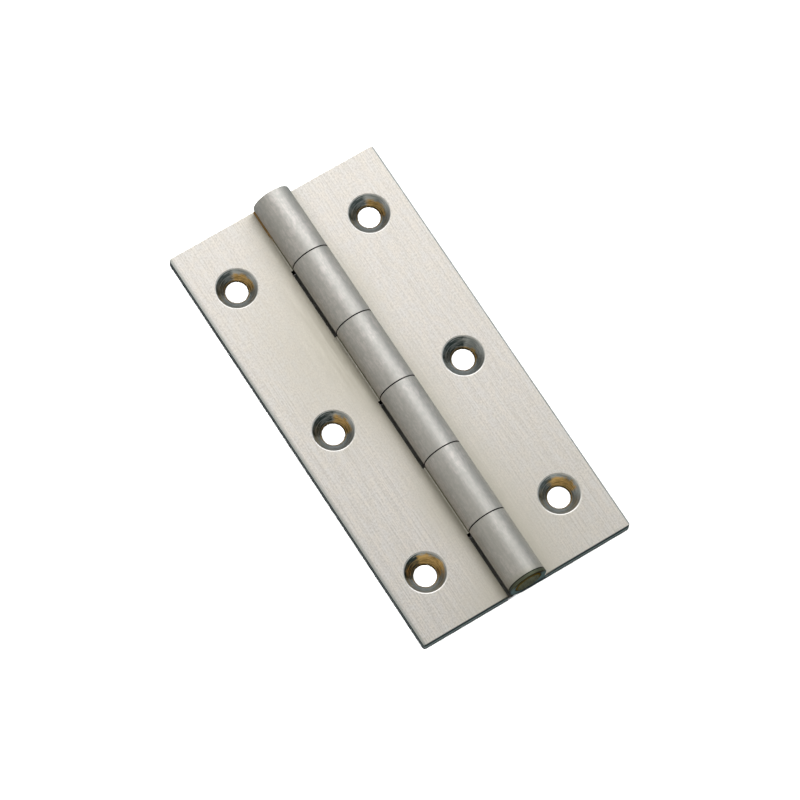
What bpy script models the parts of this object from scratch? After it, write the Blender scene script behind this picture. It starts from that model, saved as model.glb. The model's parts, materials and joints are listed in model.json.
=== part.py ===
"""Butt hinge with six knuckles, opened flat with its countersunk front up.

Each leaf is a length of one drawn section: a flat plate that runs tangent into a round barrel. The
barrel is milled away wherever the other leaf's knuckles turn, and what is left is bored for the pin.
The plates are drilled and countersunk for wood screws. The pin's two ends are upset into the mouths
of the end knuckles, flush with them, so it can't come out.

X runs across the leaves, Y along the pin and +Z out of the front. The origin lies on the back plane,
halfway along the pin. Sizes are named in millimetres and become metres where the meshes are made.
"""

import math

import bmesh
import bpy
from mathutils import Matrix, Vector

MM = 0.001

# Leaves
HINGE_LENGTH = 76.0
LEAF_REACH = 19.1
LEAF_THICKNESS = 1.8
LEAF_CORNER_RADIUS = 0.4
LONG_EDGE_RADIUS = 0.3
EDGE_BREAK = 0.12

# Barrel, shared out between the leaves in turn
BARREL_DIAMETER = 6.6
KNUCKLE_COUNT = 6
END_KNUCKLE_LENGTH = 12.0
BARREL_END_RADIUS = 0.3
KNUCKLE_GAP = 0.2
NOTCH_CLEARANCE = 0.3
ROOT_FILLET_RADIUS = 0.3

# Pin and the mouths that its upset ends fill
PIN_DIAMETER = 3.6
PIN_CLEARANCE = 0.05
PIN_HEAD_DIAMETER = 4.7
PIN_HEAD_RIM = 0.35
PIN_HEAD_EDGE_RADIUS = 0.25
PIN_HEAD_TAPER_ANGLE = 45.0

# Screw holes
SCREWS_PER_LEAF = 3
SCREW_PITCH = 28.0
SCREW_REACH = 12.45
SCREW_ROW_SHIFT = 0.15
MIDDLE_SCREW_INSET = 0.3
MIDDLE_SCREW_SHIFT = -0.5
SCREW_HOLE_DIAMETER = 3.7
COUNTERSINK_DIAMETER = 6.75
COUNTERSINK_ANGLE = 90.0

# How finely round shapes are faceted, and how far a cutter runs past what it cuts
BARREL_STEPS = 60
FILLET_STEPS = 4
CORNER_STEPS = 4
EDGE_STEPS = 2
PIN_SEGMENTS = 48
HOLE_SEGMENTS = 48
CUTTER_OVERRUN = 1.0
SHARP_ANGLE = math.radians(30.0)
MERGE_DISTANCE = 1e-7

# Finishes: colour, roughness and metallic value
SATIN_NICKEL = ((0.62, 0.60, 0.56), 0.38, 1.0)
PIN_METAL = ((0.36, 0.34, 0.29), 0.45, 1.0)

# What follows from the sizes above
BARREL_RADIUS = BARREL_DIAMETER / 2
BORE_RADIUS = PIN_DIAMETER / 2 + PIN_CLEARANCE
MOUTH_RADIUS = PIN_HEAD_DIAMETER / 2 + PIN_CLEARANCE
HEAD_TAPER = (PIN_HEAD_DIAMETER - PIN_DIAMETER) / 2 / math.tan(math.radians(PIN_HEAD_TAPER_ANGLE))
LEFT = -1
RIGHT = 1


def clear_scene():
    """Removes the objects that are in the scene."""
    for thing in list(bpy.data.objects):
        bpy.data.objects.remove(thing, do_unlink=True)


def knuckle_bounds(index):
    """Returns the Y values between which a knuckle has its share of the barrel, lower one first."""
    inner_length = (HINGE_LENGTH - 2 * END_KNUCKLE_LENGTH) / (KNUCKLE_COUNT - 2)
    joints = [END_KNUCKLE_LENGTH + inner_length * step for step in range(KNUCKLE_COUNT - 1)]
    marks = [0.0] + joints + [HINGE_LENGTH]
    return HINGE_LENGTH / 2 - marks[index + 1], HINGE_LENGTH / 2 - marks[index]


def knuckles_of(side):
    """Returns the numbers of a leaf's knuckles, counted from the +Y end; the left leaf has the first."""
    first = 0 if side == LEFT else 1
    return range(first, KNUCKLE_COUNT, 2)


def arc(centre, radius, start, end, steps):
    """Returns points along a circular arc in the XZ plane, both ends included; angles in radians."""
    angles = [start + (end - start) * step / steps for step in range(steps + 1)]
    return [(centre[0] + radius * math.cos(a), centre[1] + radius * math.sin(a)) for a in angles]


def leaf_section():
    """Returns the right leaf's drawn section as (x, z) points about the pin's axis."""
    back = -BARREL_RADIUS
    front = back + LEAF_THICKNESS
    fillet_z = front + ROOT_FILLET_RADIUS
    fillet_x = math.sqrt((BARREL_RADIUS + ROOT_FILLET_RADIUS) ** 2 - fillet_z ** 2)
    root_angle = math.atan2(fillet_z, fillet_x)
    barrel = arc((0.0, 0.0), BARREL_RADIUS, -math.pi / 2, root_angle - 2 * math.pi, BARREL_STEPS)
    fillet = arc((fillet_x, fillet_z), ROOT_FILLET_RADIUS, root_angle + math.pi, 1.5 * math.pi, FILLET_STEPS)
    return [(LEAF_REACH, back)] + barrel + fillet[1:] + [(LEAF_REACH, front)]


def mesh_from(shape, name):
    """Turns a bmesh into a mesh with outward faces, smooth but for its sharp edges."""
    bmesh.ops.remove_doubles(shape, verts=shape.verts, dist=MERGE_DISTANCE)
    bmesh.ops.recalc_face_normals(shape, faces=shape.faces)
    mesh = bpy.data.meshes.new(name)
    shape.to_mesh(mesh)
    shape.free()
    mesh.shade_smooth()
    mesh.set_sharp_from_angle(angle=SHARP_ANGLE)
    return mesh


def add_object(name, mesh, axis_empty):
    """Adds a mesh to the scene as an object that is placed from the pin's axis."""
    thing = bpy.data.objects.new(name, mesh)
    bpy.context.scene.collection.objects.link(thing)
    thing.parent = axis_empty
    return thing


def add_cutter(name, shape, axis_empty):
    """Adds a cutter, which shows as a wire and is left out of renders."""
    cutter = add_object(name, mesh_from(shape, name), axis_empty)
    cutter.hide_render = True
    cutter.display_type = "WIRE"
    return cutter


def finish(name, colour, roughness, metallic):
    """Makes a Principled material."""
    material = bpy.data.materials.new(name)
    material.use_nodes = True
    shader = material.node_tree.nodes["Principled BSDF"]
    shader.inputs["Base Color"].default_value = (*colour, 1.0)
    shader.inputs["Roughness"].default_value = roughness
    shader.inputs["Metallic"].default_value = metallic
    return material


def turn(shape, outline, segments, placing):
    """Spins (radius, height) points, from axis to axis, about Z and places the solid by a matrix."""
    corners = [shape.verts.new(placing @ Vector((radius * MM, 0.0, height * MM))) for radius, height in outline]
    edges = [shape.edges.new(pair) for pair in zip(corners, corners[1:])]
    bmesh.ops.spin(
        shape, geom=corners + edges, cent=placing.translation, axis=placing.to_3x3() @ Vector((0, 0, 1)),
        angle=2 * math.pi, steps=segments, use_merge=True,
    )


def add_box(shape, low, high):
    """Adds a box between two corners."""
    size = Vector(high) - Vector(low)
    middle = (Vector(high) + Vector(low)) / 2
    placing = Matrix.Translation(middle * MM) @ Matrix.Diagonal((*(size * MM), 1.0))
    bmesh.ops.create_cube(shape, size=1.0, matrix=placing)


def circumscribed(radius):
    """Returns the corner radius whose facets just touch a true hole of this radius from outside."""
    return radius / math.cos(math.pi / HOLE_SEGMENTS)


def bore_cutter(axis_empty):
    """Makes the turned cutter for the pin's bore and its two mouths."""
    bore = circumscribed(BORE_RADIUS)
    mouth = circumscribed(MOUTH_RADIUS)
    end = HINGE_LENGTH / 2
    shoulder = end - PIN_HEAD_RIM
    half = [(mouth, end + CUTTER_OVERRUN), (mouth, shoulder), (bore, shoulder - HEAD_TAPER)]
    outline = [(0.0, half[0][1])] + half + [(radius, -y) for radius, y in reversed(half)] + [(0.0, -half[0][1])]
    shape = bmesh.new()
    turn(shape, outline, HOLE_SEGMENTS, Matrix.Rotation(-math.pi / 2, 4, "X"))
    return add_cutter("bore_cutter", shape, axis_empty)


def notch_cutter(name, side, axis_empty):
    """Makes the boxes that clear the other leaf's knuckles out of this leaf."""
    shape = bmesh.new()
    wall = side * (BARREL_RADIUS + NOTCH_CLEARANCE)
    far = -side * (BARREL_RADIUS + CUTTER_OVERRUN)
    height = BARREL_RADIUS + CUTTER_OVERRUN
    for index in knuckles_of(-side):
        low, high = knuckle_bounds(index)
        low -= CUTTER_OVERRUN if index == KNUCKLE_COUNT - 1 else KNUCKLE_GAP / 2
        high += CUTTER_OVERRUN if index == 0 else KNUCKLE_GAP / 2
        add_box(shape, (min(wall, far), low, -height), (max(wall, far), high, height))
    return add_cutter(name, shape, axis_empty)


def screw_cutter(name, side, axis_empty):
    """Makes the drills and countersinks for one leaf's screws."""
    hole = circumscribed(SCREW_HOLE_DIAMETER / 2)
    rim = circumscribed(COUNTERSINK_DIAMETER / 2)
    slope = math.tan(math.radians(COUNTERSINK_ANGLE / 2))
    back = -BARREL_RADIUS
    front = back + LEAF_THICKNESS
    throat = front - (rim - hole) / slope
    bottom = min(back, throat) - CUTTER_OVERRUN
    top = front + CUTTER_OVERRUN
    outline = [(0.0, top), (rim + CUTTER_OVERRUN * slope, top), (hole, throat), (hole, bottom), (0.0, bottom)]
    shape = bmesh.new()
    for index in range(SCREWS_PER_LEAF):
        x = SCREW_REACH
        y = SCREW_ROW_SHIFT + (index - (SCREWS_PER_LEAF - 1) / 2) * SCREW_PITCH
        if 0 < index < SCREWS_PER_LEAF - 1:
            x -= MIDDLE_SCREW_INSET
            y += MIDDLE_SCREW_SHIFT
        turn(shape, outline, HOLE_SEGMENTS, Matrix.Translation(Vector((side * x, y, 0.0)) * MM))
    return add_cutter(name, shape, axis_empty)


def leaf_blank(name, side):
    """Extrudes the drawn section along Y and rounds the two corners of the leaf's free edge."""
    shape = bmesh.new()
    end = HINGE_LENGTH / 2
    ring = [shape.verts.new((side * x * MM, -end * MM, z * MM)) for x, z in leaf_section()]
    face = shape.faces.new(ring)
    grown = bmesh.ops.extrude_face_region(shape, geom=[face])
    raised = [item for item in grown["geom"] if isinstance(item, bmesh.types.BMVert)]
    bmesh.ops.translate(shape, vec=(0.0, HINGE_LENGTH * MM, 0.0), verts=raised)
    corners = [edge for edge in shape.edges if is_free_corner(edge, side)]
    bmesh.ops.bevel(
        shape, geom=corners, offset=LEAF_CORNER_RADIUS * MM, offset_type="OFFSET",
        segments=CORNER_STEPS, profile=0.5, affect="EDGES",
    )
    return mesh_from(shape, name)


def is_free_corner(edge, side):
    """Says whether an edge stands upright at the leaf's free long edge."""
    first, second = (corner.co for corner in edge.verts)
    upright = abs(first.z - second.z) > MERGE_DISTANCE
    outermost = min(side * first.x, side * second.x) > LEAF_REACH * MM - MERGE_DISTANCE
    return upright and outermost


def cut(thing, cutter):
    """Takes a cutter's space out of an object."""
    boolean = thing.modifiers.new(cutter.name, "BOOLEAN")
    boolean.operation = "DIFFERENCE"
    boolean.solver = "EXACT"
    boolean.object = cutter


def edge_radius(middle, side):
    """Returns how far a leaf's edge is rounded, from where its middle lies about the pin's axis in millimetres."""
    at_end = HINGE_LENGTH / 2 - abs(middle.y) < EDGE_BREAK
    on_barrel = math.hypot(middle.x, middle.z) < BARREL_RADIUS
    if at_end and on_barrel:
        return BARREL_END_RADIUS
    round_the_corner = 1.0 - (LEAF_REACH - side * middle.x) / LEAF_CORNER_RADIUS
    return EDGE_BREAK + (LONG_EDGE_RADIUS - EDGE_BREAK) * min(max(round_the_corner, 0.0), 1.0)


def soften_edges(thing, side):
    """Rounds a leaf's sharp edges, most along its free edge and round the barrel's ends."""
    widest = max(LONG_EDGE_RADIUS, BARREL_END_RADIUS)
    shape = bmesh.new()
    shape.from_mesh(thing.data)
    share = shape.edges.layers.float.new("bevel_weight_edge")
    for edge in shape.edges:
        if edge.calc_face_angle(0.0) > SHARP_ANGLE:
            middle = (edge.verts[0].co + edge.verts[1].co) / (2 * MM)
            edge[share] = edge_radius(middle, side) / widest
    shape.to_mesh(thing.data)
    shape.free()
    bevel = thing.modifiers.new("softened_edges", "BEVEL")
    bevel.width = widest * MM
    bevel.segments = EDGE_STEPS
    bevel.limit_method = "WEIGHT"
    bevel.loop_slide = False


def apply_modifiers(thing):
    """Applies an object's modifiers and marks the edges that they left sharp."""
    graph = bpy.context.evaluated_depsgraph_get()
    thing.data = bpy.data.meshes.new_from_object(thing.evaluated_get(graph))
    thing.modifiers.clear()
    thing.data.set_sharp_from_angle(angle=SHARP_ANGLE)


def build_leaf(name, side, axis_empty, bore):
    """Builds one leaf: its blank, milled between the knuckles, then bored, drilled and countersunk."""
    leaf = add_object(name, leaf_blank(name, side), axis_empty)
    leaf.data.materials.append(finish(name + "_satin_nickel", *SATIN_NICKEL))
    cut(leaf, notch_cutter(name + "_notch_cutter", side, axis_empty))
    apply_modifiers(leaf)
    soften_edges(leaf, side)
    cut(leaf, bore)
    cut(leaf, screw_cutter(name + "_screw_cutter", side, axis_empty))
    apply_modifiers(leaf)
    return leaf


def build_pin(axis_empty):
    """Builds the pin with its two upset heads, each flush with the barrel's end and rounded at its edge."""
    shank = PIN_DIAMETER / 2
    head = PIN_HEAD_DIAMETER / 2
    top = HINGE_LENGTH / 2
    shoulder = top - PIN_HEAD_RIM
    edge_centre = (head - PIN_HEAD_EDGE_RADIUS, top - PIN_HEAD_EDGE_RADIUS)
    edge = arc(edge_centre, PIN_HEAD_EDGE_RADIUS, math.pi / 2, 0.0, EDGE_STEPS)
    half = edge + [(head, shoulder), (shank, shoulder - HEAD_TAPER)]
    outline = [(0.0, top)] + half + [(radius, -y) for radius, y in reversed(half)] + [(0.0, -top)]
    shape = bmesh.new()
    turn(shape, outline, PIN_SEGMENTS, Matrix.Rotation(-math.pi / 2, 4, "X"))
    pin = add_object("hinge_pin", mesh_from(shape, "hinge_pin"), axis_empty)
    pin.data.materials.append(finish("hinge_pin_metal", *PIN_METAL))
    return pin


def main():
    """Builds the hinge about an empty on the pin's axis."""
    clear_scene()
    axis_empty = bpy.data.objects.new("pin_axis", None)
    bpy.context.scene.collection.objects.link(axis_empty)
    axis_empty.location = (0.0, 0.0, BARREL_RADIUS * MM)
    bore = bore_cutter(axis_empty)
    build_leaf("left_leaf", LEFT, axis_empty, bore)
    build_leaf("right_leaf", RIGHT, axis_empty, bore)
    build_pin(axis_empty)


main()
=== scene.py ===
"""Looks of a satin nickel butt hinge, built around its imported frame.

The two leaves and the pin are modelled again with fine rounded edges and stand in for the plain
solids. The leaves are brushed lengthwise, the barrel is matte, and brass shows where the plating is
thin: in the countersinks and in the crevice beside the barrel.
"""

from __future__ import annotations

import json
import logging
import math
from collections.abc import Iterable, Sequence
from dataclasses import dataclass
from enum import Enum, IntEnum

import bmesh
import bpy
from bmesh.types import BMEdge, BMesh, BMVert
from bpy.types import Collection, Material, Mesh, MeshPolygon, Node, NodeTree, Object
from bpy.types import NodeSocket as Socket
from mathutils import Matrix, Vector

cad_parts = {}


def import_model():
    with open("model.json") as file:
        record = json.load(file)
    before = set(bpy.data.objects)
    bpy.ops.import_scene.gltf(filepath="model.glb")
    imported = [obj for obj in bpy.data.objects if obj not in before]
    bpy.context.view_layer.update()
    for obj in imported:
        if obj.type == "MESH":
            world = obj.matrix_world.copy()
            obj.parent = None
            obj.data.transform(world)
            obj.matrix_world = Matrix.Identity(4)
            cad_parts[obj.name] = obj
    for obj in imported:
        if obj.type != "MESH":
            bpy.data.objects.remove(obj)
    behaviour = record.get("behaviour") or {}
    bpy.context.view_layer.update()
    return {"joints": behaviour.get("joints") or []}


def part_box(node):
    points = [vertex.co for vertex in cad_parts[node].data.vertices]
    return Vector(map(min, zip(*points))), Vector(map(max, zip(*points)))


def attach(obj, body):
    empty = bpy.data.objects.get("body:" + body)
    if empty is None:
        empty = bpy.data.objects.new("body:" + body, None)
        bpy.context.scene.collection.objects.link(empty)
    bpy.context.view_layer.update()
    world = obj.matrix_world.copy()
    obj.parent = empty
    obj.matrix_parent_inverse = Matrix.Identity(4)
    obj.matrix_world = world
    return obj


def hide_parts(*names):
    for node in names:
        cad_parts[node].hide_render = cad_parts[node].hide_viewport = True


LOG = logging.getLogger("hinge")
MM = 0.001
Colour = tuple[float, float, float]
Size = tuple[float, float, float]
Span = tuple[float, float]
Point = Sequence[float]
# The tint of reflections at a glancing angle, where dull metal gleams less than bright metal.
GLANCING = (0.4, 0.4, 0.4, 1.0)


class Side(IntEnum):
    """Which side of the pin a leaf lies on, as the sign of its X values."""

    LEFT = -1
    RIGHT = 1


class Region(IntEnum):
    """The areas of a leaf that have a finish of their own, as material slots."""

    PLATE = 0
    BARREL = 1
    COUNTERSINK = 2
    CUT_END = 3
    CREVICE = 4
    BARREL_END = 5
    NOTCH = 6
    RIM = 7


class Layer(Enum):
    """Names of the UV layers that carry directions and places to the finishes."""

    BRUSHING = "brushing"
    TURNING = "turning"
    BARE = "bare"
    SOOT = "soot"


@dataclass(frozen=True)
class Sector:
    """A stretch of a countersink's wall between two directions, in degrees from +X."""

    start: float
    end: float

    def turn_from_middle(self, direction: float) -> float:
        """Measures how far a direction lies from the sector's middle, in half widths.

        Args:
            direction: the direction round the hole, in radians.

        Returns:
            The distance; the sector ends at 1.
        """
        middle = math.radians((self.start + self.end) / 2)
        half = math.radians(abs(self.end - self.start) / 2)
        away = (direction - middle + math.pi) % math.tau - math.pi
        return away / half


@dataclass(frozen=True)
class WearAndShade:
    """How a countersink has aged: where its brass is bare, from which depth down, and its painted shade."""

    bare: Sector
    bare_depth: float
    shaded_sector: Sector
    soot: float


# Each entry's last two values place a countersink's painted shade: the sector of its wall painted dark, and
# how strongly.
COUNTERSINK_WEAR_AND_SHADE = {
    Side.LEFT: (
        WearAndShade(Sector(-35.0, 165.0), 0.14, Sector(82.0, 168.0), 1.3),
        WearAndShade(Sector(-32.0, 60.0), 0.26, Sector(58.0, 165.0), 1.0),
        WearAndShade(Sector(-32.0, 78.0), 0.30, Sector(74.0, 170.0), 0.82),
    ),
    Side.RIGHT: (
        WearAndShade(Sector(-10.0, 100.0), 0.20, Sector(85.0, 165.0), 0.78),
        WearAndShade(Sector(-32.0, 24.0), 0.60, Sector(54.0, 165.0), 1.0),
        WearAndShade(Sector(-34.0, 72.0), 0.38, Sector(70.0, 170.0), 0.85),
    ),
}


@dataclass(frozen=True)
class HingeSizes:
    """The hinge's main lines, read from the frame, and the fine sizes that the frame doesn't give."""

    reach: float
    half_length: float
    barrel_radius: float
    head_radius: float
    head_end: float
    thickness: float = 1.8 * MM
    corner_radius: float = 0.4 * MM
    edge_round: float = 0.15 * MM
    long_edge_round: float = 0.30 * MM
    barrel_end_round: float = 0.30 * MM
    end_knuckle: float = 12.0 * MM
    knuckle_count: int = 6
    knuckle_gap: float = 0.2 * MM
    notch_clearance: float = 0.3 * MM
    root_fillet: float = 0.3 * MM
    bore_clearance: float = 0.05 * MM
    pin_radius: float = 1.8 * MM
    head_rim: float = 0.35 * MM
    head_edge_round: float = 0.25 * MM
    head_taper: float = 0.55 * MM
    screw_pitch: float = 28.0 * MM
    screw_reach: float = 12.45 * MM
    screw_row_shift: float = 0.15 * MM
    middle_inset: float = 0.3 * MM
    middle_shift: float = -0.5 * MM
    hole_radius: float = 1.85 * MM
    sink_radius: float = 3.375 * MM
    lip_radius: float = 0.5 * MM

    @classmethod
    def from_frame(cls, joint: dict) -> HingeSizes:
        """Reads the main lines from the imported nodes.

        Args:
            joint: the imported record's joint, whose height is the barrel's radius.

        Returns:
            The sizes, in metres.
        """
        leaf_low, leaf_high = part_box("left_leaf")
        _, pin_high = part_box("hinge_pin")
        return cls(
            reach=-leaf_low.x,
            half_length=leaf_high.y,
            barrel_radius=joint["pos_m"][2],
            head_radius=pin_high.x,
            head_end=pin_high.y,
        )

    @property
    def front(self) -> float:
        """Height of the leaves' front faces above the back plane."""
        return self.thickness

    @property
    def slate_heights(self) -> tuple[float, float]:
        """Heights between which the barrel's lower end turns from slate grey to olive."""
        return 1.1 * self.barrel_radius, 1.6 * self.barrel_radius

    @property
    def notch_wall(self) -> float:
        """Distance from the pin's axis to the wall of the notches."""
        return self.barrel_radius + self.notch_clearance

    def knuckle_bounds(self, index: int) -> tuple[float, float]:
        """Finds a knuckle's share of the barrel.

        Args:
            index: the knuckle's number, counted from the +Y end.

        Returns:
            Its lower and upper Y value, halfway through the gaps.
        """
        inner = (2 * self.half_length - 2 * self.end_knuckle) / (self.knuckle_count - 2)
        joints = [self.end_knuckle + inner * step for step in range(self.knuckle_count - 1)]
        marks = [0.0, *joints, 2 * self.half_length]
        return self.half_length - marks[index + 1], self.half_length - marks[index]

    def knuckles_of(self, side: Side) -> range:
        """Numbers of a leaf's knuckles; the left leaf has the first."""
        return range(0 if side is Side.LEFT else 1, self.knuckle_count, 2)

    def screw_places(self, side: Side) -> list[Vector]:
        """Centres of a leaf's screw holes on the back plane, from -Y to +Y.

        Args:
            side: the leaf's side.

        Returns:
            The centres.
        """
        heights = (self.screw_row_shift + self.screw_pitch * step for step in (-1, 0, 1))
        rows = [Vector((self.screw_reach, height)) for height in heights]
        rows[1] += Vector((-self.middle_inset, self.middle_shift))
        return [Vector((side * place.x, place.y, 0.0)) for place in rows]


def mm(*sizes: float) -> tuple[float, ...]:
    """Turns millimetres into metres."""
    return tuple(size * MM for size in sizes)


def arc(centre: Point, radius: float, start: float, end: float, steps: int) -> list[Point]:
    """Lists points along a circular arc.

    Args:
        centre: the arc's centre in its plane.
        radius: its radius.
        start: the first point's angle in degrees.
        end: the last point's angle in degrees.
        steps: how many pieces it has.

    Returns:
        The points, both ends included.
    """
    angles = [math.radians(start + (end - start) * step / steps) for step in range(steps + 1)]
    return [(centre[0] + radius * math.cos(a), centre[1] + radius * math.sin(a)) for a in angles]


def new_object(name: str, mesh: Mesh) -> Object:
    """Links a mesh to the scene under a name."""
    thing = bpy.data.objects.new(name, mesh)
    bpy.context.scene.collection.objects.link(thing)
    return thing


def closed_mesh(shape: BMesh, name: str) -> Mesh:
    """Turns a bmesh into a smooth mesh whose faces point outward.

    Args:
        shape: the bmesh, which is freed.
        name: the mesh's name.

    Returns:
        The mesh.
    """
    bmesh.ops.remove_doubles(shape, verts=shape.verts, dist=1e-7)
    bmesh.ops.recalc_face_normals(shape, faces=shape.faces)
    mesh = bpy.data.meshes.new(name)
    shape.to_mesh(mesh)
    shape.free()
    mesh.shade_smooth()
    return mesh


def turn(shape: BMesh, outline: Iterable[Point], steps: int, placing: Matrix) -> None:
    """Spins a profile into a solid.

    Args:
        shape: the bmesh that takes the solid.
        outline: (radius, height) points, the first and last of them on the axis.
        steps: how many facets go round.
        placing: moves the solid from the Z axis to its place.
    """
    corners = [shape.verts.new(placing @ Vector((radius, 0.0, height))) for radius, height in outline]
    edges = [shape.edges.new(pair) for pair in zip(corners, corners[1:])]
    bmesh.ops.spin(
        shape,
        geom=corners + edges,
        cent=placing.translation,
        axis=placing.to_3x3() @ Vector((0.0, 0.0, 1.0)),
        angle=math.tau,
        steps=steps,
        use_merge=True,
    )


def add_box(shape: BMesh, low: Point, high: Point) -> None:
    """Adds a box between two corners to a bmesh.

    Args:
        shape: the bmesh.
        low: the lower corner.
        high: the upper corner.
    """
    low_corner, high_corner = Vector(low), Vector(high)
    scale = Matrix.Diagonal((*(high_corner - low_corner), 1.0))
    middle = Matrix.Translation((low_corner + high_corner) / 2)
    bmesh.ops.create_cube(shape, size=1.0, matrix=middle @ scale)


def apply_modifiers(thing: Object) -> None:
    """Applies every modifier that an object carries.

    Args:
        thing: the object.
    """
    graph = bpy.context.evaluated_depsgraph_get()
    mesh = bpy.data.meshes.new_from_object(thing.evaluated_get(graph))
    thing.modifiers.clear()
    thing.data = mesh


def subtract(thing: Object, shape: BMesh) -> None:
    """Takes a closed bmesh out of an object.

    Args:
        thing: the object that is cut.
        shape: what is taken out; it is freed.
    """
    cutter = new_object("cutter", closed_mesh(shape, "cutter"))
    boolean = thing.modifiers.new("cut", "BOOLEAN")
    boolean.operation = "DIFFERENCE"
    boolean.solver = "EXACT"
    boolean.object = cutter
    apply_modifiers(thing)
    bpy.data.objects.remove(cutter)


def even_normals(thing: Object, sharp_degrees: float = 40.0) -> None:
    """Keeps flat faces flat beside their rounded edges.

    Args:
        thing: the object.
        sharp_degrees: edges that bend more than this stay sharp.
    """
    thing.data.set_sharp_from_angle(angle=math.radians(sharp_degrees))
    weighted = thing.modifiers.new("even", "WEIGHTED_NORMAL")
    weighted.keep_sharp = True
    weighted.weight = 100
    apply_modifiers(thing)


class Board:
    """A node tree, with short calls for what the finishes and the surroundings share."""

    def __init__(self, tree: NodeTree, shader: Node) -> None:
        """Takes a node tree over.

        Args:
            tree: the tree.
            shader: the node in it that the other nodes feed.
        """
        self.tree = tree
        self.shader = shader

    def add(self, kind: str, inputs: dict | None = None, **settings: object) -> Node:
        """Adds a node.

        Args:
            kind: the node's type, without its ShaderNode prefix.
            inputs: values or sockets for its inputs, by name or number.
            settings: the node's own options.

        Returns:
            The node.
        """
        node = self.tree.nodes.new("ShaderNode" + kind)
        for option, value in settings.items():
            setattr(node, option, value)
        for key, value in (inputs or {}).items():
            self.put(node.inputs[key], value)
        return node

    def put(self, socket: Socket, value: object) -> None:
        """Links a socket to another, or gives it a value.

        Args:
            socket: the input socket.
            value: an output socket, or the value.
        """
        if isinstance(value, Socket):
            self.tree.links.new(value, socket)
        else:
            socket.default_value = value

    def shade(self, **inputs: object) -> None:
        """Sets the shader's sockets; an underscore in a key stands for a blank."""
        for key, value in inputs.items():
            self.put(self.shader.inputs[key.replace("_", " ")], value)

    def place(self) -> Socket:
        """The point on the object, in metres."""
        return self.add("TexCoord").outputs["Object"]

    def parts(self, vector: Socket) -> Sequence[Socket]:
        """A vector's three values."""
        return self.add("SeparateXYZ", {0: vector}).outputs

    def layer(self, layer: Layer) -> Socket:
        """A UV layer's values."""
        return self.add("UVMap", uv_map=layer.value).outputs["UV"]

    def noise(self, place: Socket, size: Size, detail: float = 2.0, rough: float = 0.5) -> Socket:
        """Noise whose grains have a given size along each axis.

        Args:
            place: where it is read.
            size: the grain's size along X, Y and Z, in the place's own units.
            detail: how many finer octaves it has.
            rough: how strong they are.

        Returns:
            Values of about 0.2 to 0.8 round a mean of 0.5.
        """
        scaled = self.add("Mapping", {"Vector": place, "Scale": tuple(1.0 / side for side in size)})
        inputs = {"Vector": scaled.outputs[0], "Scale": 1.0, "Detail": detail, "Roughness": rough}
        return self.add("TexNoise", inputs).outputs["Fac"]

    def math(self, operation: str, first: object, second: object = 0.0) -> Socket:
        """One arithmetic step."""
        return self.add("Math", {0: first, 1: second}, operation=operation).outputs[0]

    def plus(self, value: Socket, other: Socket, share: float) -> Socket:
        """Adds a share of another value."""
        return self.math("ADD", value, self.math("MULTIPLY", other, share))

    def ramp(self, value: Socket, low: float, high: float, start: float = 0.0, end: float = 1.0) -> Socket:
        """A smooth step from one value to another.

        Args:
            value: what is read.
            low: where the step starts.
            high: where it ends; it may lie below low.
            start: the result at the start.
            end: the result at the end.

        Returns:
            The result.
        """
        inputs = {"Value": value, "From Min": low, "From Max": high, "To Min": start, "To Max": end}
        return self.add("MapRange", inputs, interpolation_type="SMOOTHSTEP").outputs[0]

    def mix(self, share: object, first: object, second: object) -> Socket:
        """Blends two colours.

        Args:
            share: how much of the second one shows.
            first: a colour or a socket.
            second: another one.

        Returns:
            The blend.
        """
        node = self.add("Mix", data_type="RGBA", clamp_factor=True)
        self.put(node.inputs["Factor"], share)
        for key, value in (("A", first), ("B", second)):
            socket = next(s for s in node.inputs if s.name == key and s.type == "RGBA")
            self.put(socket, (*value, 1.0) if isinstance(value, tuple) else value)
        return next(s for s in node.outputs if s.type == "RGBA")

    def distance(self, place: Socket, line: Point) -> Socket:
        """Measures how far a point is from a line along Y.

        Args:
            place: the point.
            line: the line's X and Z values.

        Returns:
            The distance.
        """
        without_y = (1.0, 0.0, 1.0)
        flat = self.add("VectorMath", {0: place, 1: without_y}, operation="MULTIPLY").outputs[0]
        ends = {0: flat, 1: (line[0], 0.0, line[1])}
        return self.add("VectorMath", ends, operation="DISTANCE").outputs["Value"]

    def metal(self, tone: object, rough: object, height: Socket, depth: float, **more: object) -> None:
        """Shades the surface as metal.

        Args:
            tone: its colour.
            rough: its roughness.
            height: its fine relief, as heights of 0 to 1.
            depth: the relief's depth in metres.
            more: values for other sockets of the shader.
        """
        relief = self.add("Bump", {"Height": height, "Distance": depth, "Strength": 1.0}).outputs[0]
        self.shade(Base_Color=tone, Metallic=1.0, Roughness=rough, Normal=relief, **more)

    def tangent(self, layer: Layer) -> Socket:
        """The direction of a UV layer's first axis."""
        return self.add("Tangent", direction_type="UV_MAP", uv_map=layer.value).outputs[0]


@dataclass(frozen=True)
class ShadePatch:
    """An oval soft-edged patch of painted shade on the front of the leaves."""

    centre: Point
    reach: Point
    strength: float

    def share(self, board: Board, place: Socket) -> Socket:
        """Finds how much painted shade lies at a point: its strength at the middle, and 0 past its reach.

        Args:
            board: the material's board.
            place: the point on the object.

        Returns:
            The share.
        """
        middle = (*self.centre, 0.0)
        offset = board.add("VectorMath", {0: place, 1: middle}, operation="SUBTRACT").outputs[0]
        scaling = (1.0 / self.reach[0], 1.0 / self.reach[1], 0.0)
        scaled = board.add("VectorMath", {0: offset, 1: scaling}, operation="MULTIPLY").outputs[0]
        away = board.add("VectorMath", {0: scaled}, operation="LENGTH").outputs["Value"]
        return board.ramp(away, 1.0, 0.0, 0.0, self.strength)


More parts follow.
